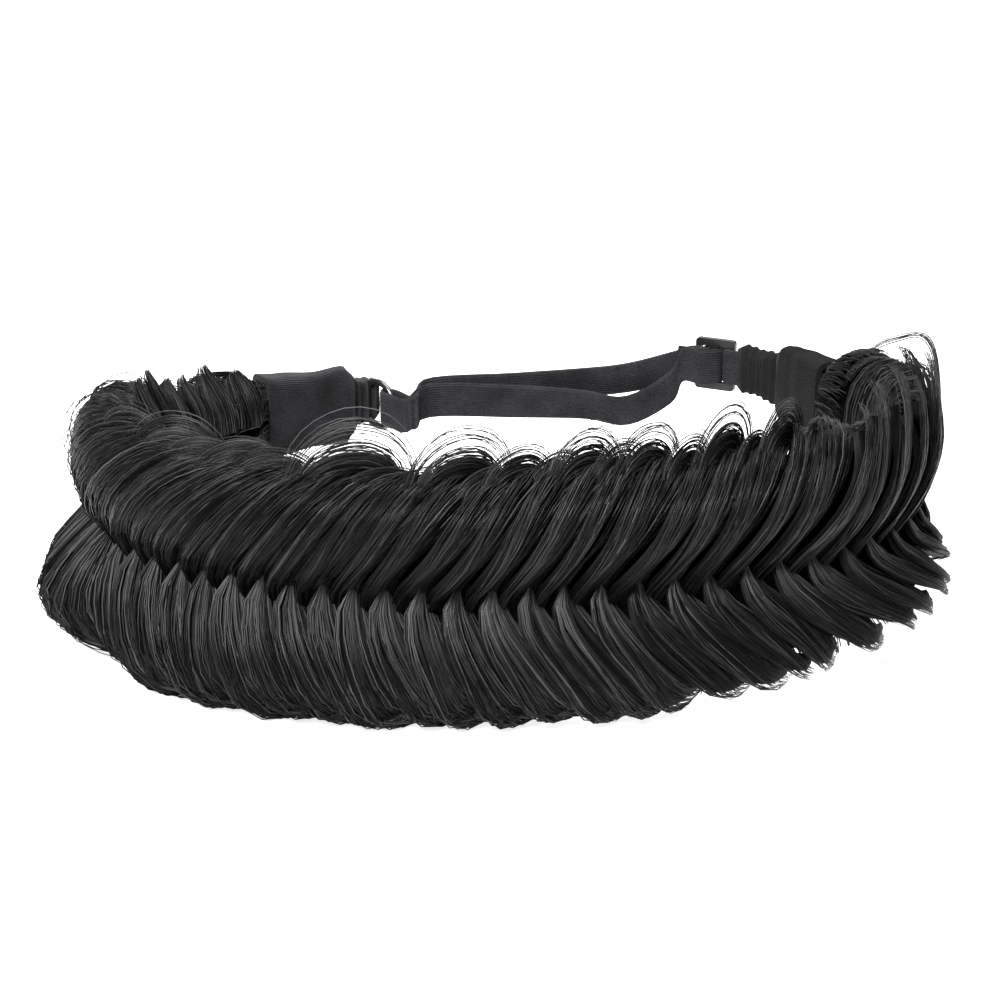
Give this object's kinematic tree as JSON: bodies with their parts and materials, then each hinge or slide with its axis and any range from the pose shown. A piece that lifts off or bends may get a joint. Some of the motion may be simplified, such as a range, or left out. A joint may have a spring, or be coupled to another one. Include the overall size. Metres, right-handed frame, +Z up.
{
  "type": "braided hair headband",
  "caption": "Loop of synthetic hair in a fishtail braid of two leaning rows of locks, closed at the back by ribbed elastic tabs, a ring, a slider and an adjustable elastic strap.",
  "frame": {"origin": "middle of the underside of the whole headband, where it rests on a table", "axes": "+Z up, +Y towards the back of the head and the strap, +X towards the braid's right end and the slider"},
  "size_m": [0.2208, 0.164, 0.0644],
  "materials": {
    "hair": "black synthetic hair with a soft grey sheen along the strands",
    "ribbed_elastic": "matte ribbed elastic with gathers",
    "lacquered_wire": "black lacquer on a wire ring",
    "slider_plastic": "satin moulded black plastic",
    "strap_elastic": "matte woven elastic with fine ribs"
  },
  "bodies": {
    "root": {"upper_locks": "hair", "lower_locks": "hair", "left_tab": "ribbed_elastic", "right_tab": "ribbed_elastic", "ring": "lacquered_wire", "slider": "slider_plastic", "strap": "strap_elastic"}
  },
  "joints": []
}
